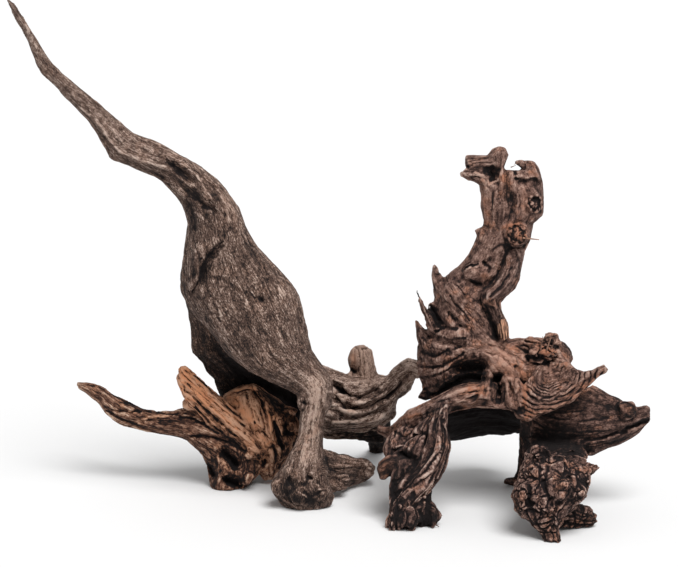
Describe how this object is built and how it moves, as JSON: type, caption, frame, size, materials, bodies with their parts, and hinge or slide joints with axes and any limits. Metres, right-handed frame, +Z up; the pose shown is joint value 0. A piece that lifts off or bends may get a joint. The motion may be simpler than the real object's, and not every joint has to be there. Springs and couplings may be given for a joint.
{
  "type": "bogwood",
  "caption": "Gnarled bogwood of a tall curved root, a low slanting root and a dark broken-topped root locked together, resting on flat-soled feet.",
  "frame": {"origin": "middle of the bounding box at the floor that the feet rest on", "axes": "+X to the right along the longest side as seen from the front, +Y away from the viewer, +Z up"},
  "size_m": [0.4484, 0.2302, 0.3624],
  "materials": {
    "grey_wood": "matt weathered grey-brown wood",
    "tan_wood": "matt orange-brown grooved wood",
    "dark_wood": "matt dark red-brown gnarled wood"
  },
  "bodies": {
    "root": {"Grey_root_tall_horn": "grey_wood", "Grey_root_trunk": "grey_wood", "Grey_root_front_leg": "grey_wood", "Grey_root_side_root": "grey_wood", "Grey_root_rear_wall": "grey_wood", "Grey_root_rear_mass": "grey_wood", "Grey_root_side_branch": "grey_wood", "Grey_root_upright_stub": "grey_wood", "Grey_root_rear_leg": "grey_wood", "Tan_root_long_arm": "tan_wood", "Tan_root_slanting_plank": "tan_wood", "Tan_root_base": "tan_wood", "Dark_root_broken_top": "dark_wood", "Dark_root_trunk": "dark_wood", "Dark_root_shell": "dark_wood", "Dark_root_right_lobe": "dark_wood", "Dark_root_burl_foot": "dark_wood", "Dark_root_left_arm": "dark_wood", "Dark_root_middle_leg": "dark_wood", "Dark_root_rear_wall": "dark_wood", "Dark_root_right_leg": "dark_wood"}
  },
  "joints": []
}
